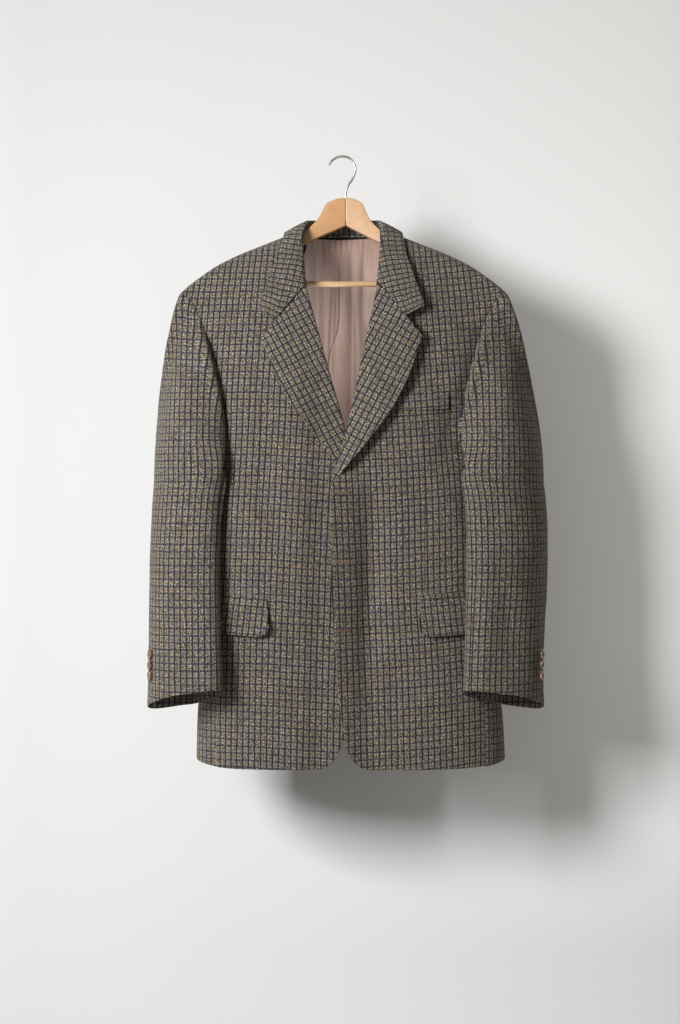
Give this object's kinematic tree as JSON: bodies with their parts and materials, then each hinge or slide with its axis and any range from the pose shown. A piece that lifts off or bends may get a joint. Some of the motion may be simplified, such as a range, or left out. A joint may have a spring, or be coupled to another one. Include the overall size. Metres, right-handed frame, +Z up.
{
  "type": "blazer on hanger",
  "caption": "Checked wool blazer with notch lapels and flap pockets, hanging open from a wooden hanger with a wire hook; shows or stores a tailored jacket.",
  "frame": {"origin": "inside top of the hanger's hook, where a rail carries it", "axes": "+Z up, +Y towards the jacket's back, +X towards the viewer's right, which is the wearer's left"},
  "size_m": [0.578, 0.2065, 0.8879],
  "materials": {
    "tweed": "napped wool with a small dark-blue and brown check on a beige ground",
    "lining": "satin lining",
    "wood": "clear lacquer",
    "horn": "polished horn-like",
    "steel": "bright wire"
  },
  "bodies": {
    "root": {"front_right": "tweed", "side_right": "tweed", "back_right": "tweed", "sleeve_top_right": "tweed", "sleeve_under_right": "tweed", "lapel_right": "tweed", "flap_right": "tweed", "jet_right": "tweed", "front_left": "tweed", "side_left": "tweed", "back_left": "tweed", "sleeve_top_left": "tweed", "sleeve_under_left": "tweed", "lapel_left": "tweed", "flap_left": "tweed", "jet_left": "tweed", "collar": "tweed", "breast_welt": "tweed", "lining_back": "lining", "hanger_arm_right": "wood", "hanger_arm_left": "wood", "hanger_bar": "wood", "cuff_button_right_1": "horn", "cuff_button_right_2": "horn", "cuff_button_right_3": "horn", "cuff_button_left_1": "horn", "cuff_button_left_2": "horn", "cuff_button_left_3": "horn", "front_button_1": "horn", "front_button_2": "horn", "front_button_3": "horn", "hanger_hook": "steel"}
  },
  "joints": []
}
